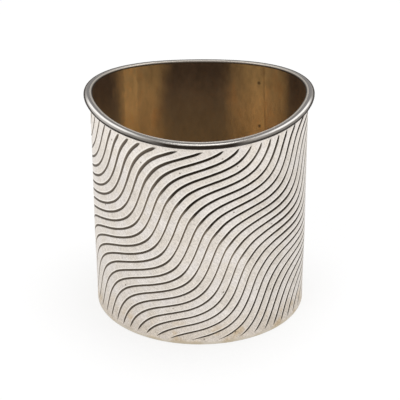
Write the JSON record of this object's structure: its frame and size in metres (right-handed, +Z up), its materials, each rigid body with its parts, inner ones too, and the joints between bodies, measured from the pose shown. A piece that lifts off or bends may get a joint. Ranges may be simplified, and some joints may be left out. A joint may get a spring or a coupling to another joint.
{
  "type": "engraved silver beaker",
  "caption": "Straight-sided silver drinking beaker with waved engraved lines, a soft triangular mouth with an applied rim wire, and a gilt inside.",
  "frame": {"origin": "centre of the base plate's underside, on the surface the beaker stands on", "axes": "+Z up through the mouth, -Y towards the front, where one soft corner of the mouth points, +X to the right seen from the front"},
  "size_m": [0.0802, 0.0795, 0.0762],
  "materials": {
    "engraved_silver": "satin silver, darkened in the cuts",
    "plain_silver": "polished silver with fine wear",
    "solder": "silver solder, slightly grey",
    "gilding": "worn gold wash, toned brown"
  },
  "bodies": {
    "root": {"body_wall": "engraved_silver", "side_seam": "solder", "base_plate": "plain_silver", "base_solder": "solder", "rim_wire": "plain_silver", "rim_solder": "solder", "gilt_lining": "gilding"}
  },
  "joints": []
}
